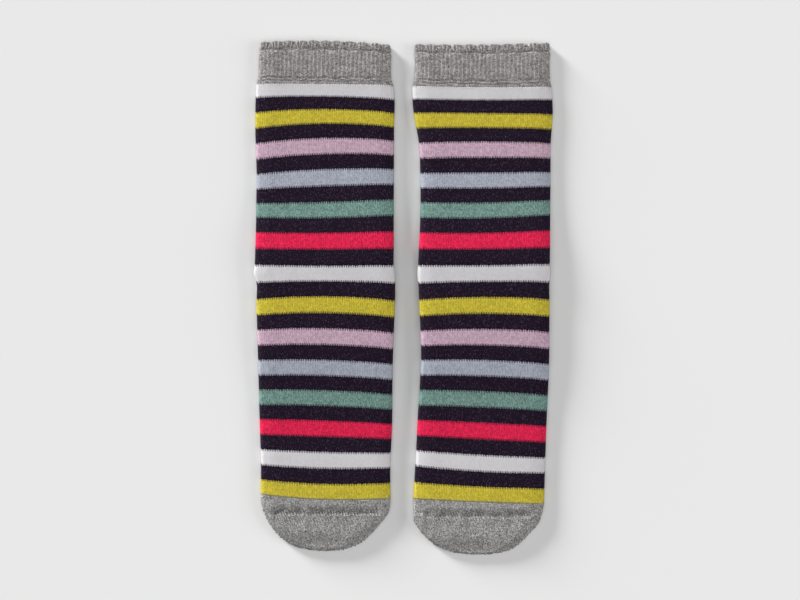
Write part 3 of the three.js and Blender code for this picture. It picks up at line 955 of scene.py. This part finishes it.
heel = {
    "points": 128,
    "cutShare": 0.86,  # of the rectangle round its outline
    # how many mm in from the outline, and the share of the thickness
    "rings": [
        (30, 0), (20, 0), (10, 0), (3, 0), (1, 0.01), (0.3, 0.1), (0, 0.25),
        (0.25, 0.42), (0.7, 0.5), (0.25, 0.58), (0, 0.72), (0.5, 0.84), (1.8, 0.9),
        (4, 0.97), (7.5, 1), (16.5, 1), (28.5, 1),
    ],
}


# one rounded pad for the pocket's two layers
def makeHeel(sock):
    section = sectionAt(sock, heelFold["course"])
    half = section["half"] - heelFold["narrower"]
    turn = 2 * math.pi * np.arange(heel["points"]) / heel["points"]
    power = 2 / heelFold["rounding"]
    c, s = np.cos(turn), np.sin(turn)
    reach = np.where(s > 0, heelFold["root"], heelFold["depth"])
    outlineX = half * np.sign(c) * np.abs(c) ** power
    outlineY = reach * np.sign(s) * np.abs(s) ** power
    rings = []
    for inset, height in heel["rings"]:
        part = 1 - inset * mm / half
        x, y = section["middle"] + outlineX * part, section["yMiddle"] + outlineY * part
        top = np.minimum(heelFold["thick"], riseAt(sock, x, y) - heelFold["clear"])
        rings.append(np.stack([x, y, np.maximum(top, heelFold["least"]) * height], axis=-1))
    rings = np.array(rings)
    count, total = heel["points"], len(rings)
    quads = gridQuads(total, count, 1, np.zeros(total))[0]
    tips = np.stack([rings[0].mean(axis=0), rings[-1].mean(axis=0)])
    points = np.concatenate([rings.reshape(-1, 3), tips])
    under = fan(0, count, len(points) - 2, flip=True)
    over = fan((total - 1) * count, count, len(points) - 1)
    polygons = [quads, under, over]
    uvs = [planarUv(points[p]) for p in polygons]
    piece = makePiece(sock["name"] + "HeelPocket", points, polygons, uvs, heelMaterial)
    flat = (2 * float(half), heelFold["depth"] + heelFold["root"])
    return piece, flat, heel["cutShare"] * flat[0] * flat[1]


fibres = {
    # how many, radius, and the shortest and longest
    "cuff": (900, 0.035 * mm, 0.6 * mm, 1.5 * mm),
    "leg": (2300, 0.022 * mm, 0.7 * mm, 2.4 * mm),
    "toe": (1700, 0.040 * mm, 0.6 * mm, 1.6 * mm),
    "points": 10,  # three rings of three and a tip
    "least": 0.05 * mm,  # height above the floor
    "rooted": 0.1 * mm,  # how deep in the knit they start
    "undersides": -0.3,  # none grow where cloth faces down more
    "curl": 0.35,
    "rise": (0.15, 0.6),  # how steeply they stand
}


# places on the upper side of a surface, evenly spread, with their outward directions and uv
def hairRoots(random, surface, count):
    grid, courses = surface
    out = np.cross(np.gradient(grid, axis=0), np.roll(grid, -1, axis=1) - np.roll(grid, 1, axis=1))
    area = np.linalg.norm(out, axis=-1)
    out /= np.maximum(area, 1e-12)[..., None]
    out *= np.sign(((grid - grid.mean(axis=1, keepdims=True)) * out).sum())
    weight = (area * (out[..., 2] > fibres["undersides"])).ravel()
    ring, spot = np.unravel_index(random.choice(weight.size, count, p=weight / weight.sum()), area.shape)
    uv = np.stack([spot / grid.shape[1] * cloth["wales"], courses[ring]], axis=-1)
    return grid[ring, spot], out[ring, spot], uv


# thin curved three-sided hairs
def hairPoints(random, root, out, radius, shortest, longest):
    n = len(root)
    length = shortest + (longest - shortest) * random.random((n, 1)) ** 2
    heading = random.normal(0, 1, (n, 3))
    heading -= (heading * out).sum(axis=1, keepdims=True) * out
    heading /= np.linalg.norm(heading, axis=1, keepdims=True)
    curl = random.normal(0, 1, (n, 3)) * fibres["curl"]
    rise = random.uniform(*fibres["rise"], (n, 1))
    steps = [root - fibres["rooted"] * out]
    for t in (0.4, 0.75, 1.0):
        steps.append(root + length * (heading * t + out * rise * t * (1.3 - 0.9 * t) + curl * t * t * 0.6))
    sideways = np.cross(heading, out)
    rings = []
    for place, thin in zip(steps[:3], (1.0, 0.9, 0.6)):
        for angle in (0, 2 * math.pi / 3, 4 * math.pi / 3):
            rings.append(place + radius * thin * (math.cos(angle) * sideways + math.sin(angle) * out))
    return np.stack([*rings, steps[3]], axis=1).reshape(-1, 3)


# loose fibres that stand out of the knit
def makeFibres(sock, surfaces):
    random = np.random.default_rng(sock["fibreSeed"])
    points, uvs = [], []
    for part, surface in surfaces.items():
        count, radius, shortest, longest = fibres[part]
        root, out, uv = hairRoots(random, surface, count)
        points.append(hairPoints(random, root, out, radius, shortest, longest))
        uvs.append(uv)
    points, uv = np.concatenate(points), np.concatenate(uvs)
    points[:, 2] = np.maximum(points[:, 2], fibres["least"])
    base = (np.arange(len(uv)) * fibres["points"])[:, None]
    walls = []
    for r in (0, 3):
        for k in range(3):
            walls.append(base + np.array([r + k, r + (k + 1) % 3, r + 3 + (k + 1) % 3, r + 3 + k]))
    quads = np.concatenate(walls)
    tips = [base + np.array([6 + k, 6 + (k + 1) % 3, 9]) for k in range(3)]
    tris = np.concatenate([*tips, base + np.array([2, 1, 0])])
    corners = [uv[polygons // fibres["points"]] for polygons in (quads, tris)]
    return makePiece(sock["name"] + "LooseFibres", points, [quads, tris], corners, fibreMaterial)


for sock in (leftSock, rightSock):
    name = sock["name"]
    cuffPiece, cuffFlat, cuffSurface = makeCuff(sock)
    legPiece, legFlat, legSurface = makeLeg(sock)
    heelPiece, heelFlat, heelArea = makeHeel(sock)
    toePiece, toeFlat, toeArea, toeSurface = makeToe(sock)
    fibrePiece = makeFibres(sock, {"cuff": cuffSurface, "leg": legSurface, "toe": toeSurface})
    for piece, node, slotName in (
        (cuffPiece, "cuff", "grey_marl_rib"),
        (legPiece, "leg_foot", "striped_knit"),
        (heelPiece, "heel", "grey_marl_heel"),
        (toePiece, "toe", "grey_marl_toe"),
        (fibrePiece, None, "striped_knit"),
    ):
        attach(piece, "root")
        if node:
            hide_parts(f"{name}_{node}")
    print(name, "sock made")

floor = {
    "size": 6.0,
    "drop": 0.05 * mm,
    "colour": (0.80, 0.80, 0.80),
}


def makeFloor():
    half = floor["size"] / 2
    mesh = bpy.data.meshes.new("floor")
    corners = [(-half, -half), (half, -half), (half, half), (-half, half)]
    mesh.from_pydata([(x, y, -floor["drop"]) for x, y in corners], [], [(0, 1, 2, 3)])
    material = bpy.data.materials.new("palePaper")
    material.use_nodes = True
    shader = material.node_tree.nodes["Principled BSDF"]
    shader.inputs["Base Color"].default_value = (*floor["colour"], 1)
    shader.inputs["Roughness"].default_value = 0.95
    shader.inputs["Specular IOR Level"].default_value = 0.0
    mesh.materials.append(material)
    ground = bpy.data.objects.new("floor", mesh)
    bpy.context.scene.collection.objects.link(ground)


# lamps so far away that they light the floor evenly; angles in degrees, anticlockwise from +X
lights = {
    "window": {"from": 138, "height": 10.5, "spread": 17, "strength": 6.18},
    "reflector": {"from": -8, "height": 20, "spread": 30, "strength": 1.37},
    "ceiling": {"from": -90, "height": 80, "spread": 80, "strength": 1.31},
}
skyStrength = 0.10


def makeLights():
    for name, light in lights.items():
        data = bpy.data.lights.new(name, "SUN")
        data.angle = math.radians(light["spread"])
        data.energy = light["strength"]
        turn, height = math.radians(light["from"]), math.radians(light["height"])
        towards = (math.cos(turn) * math.cos(height), math.sin(turn) * math.cos(height), math.sin(height))
        lamp = bpy.data.objects.new(name, data)
        lamp.location = towards
        lamp.rotation_euler = lamp.location.to_track_quat("Z", "Y").to_euler()
        bpy.context.scene.collection.objects.link(lamp)
    world = bpy.data.worlds.new("sky")
    world.use_nodes = True
    background = world.node_tree.nodes["Background"]
    background.inputs["Color"].default_value = (1, 1, 1, 1)
    background.inputs["Strength"].default_value = skyStrength
    bpy.context.scene.world = world


camera = {
    "lens": 80,
    "sensor": 36,
    "width": 480 * mm,  # what the picture's width covers on the cloth
    "aimX": -1.56 * mm,
    "aimY": -1.68 * mm,
    "clothHeight": 3.5 * mm,
}


def makeCamera():
    data = bpy.data.cameras.new("camera")
    data.lens = camera["lens"]
    data.sensor_width = camera["sensor"]
    away = camera["width"] * data.lens / data.sensor_width
    eye = bpy.data.objects.new("camera", data)
    eye.location = (camera["aimX"], camera["aimY"], camera["clothHeight"] + away)
    bpy.context.scene.collection.objects.link(eye)
    bpy.context.scene.camera = eye


makeFloor()
makeLights()
makeCamera()
bpy.context.scene.view_settings.view_transform = "Standard"
print("stage, lights and camera made")
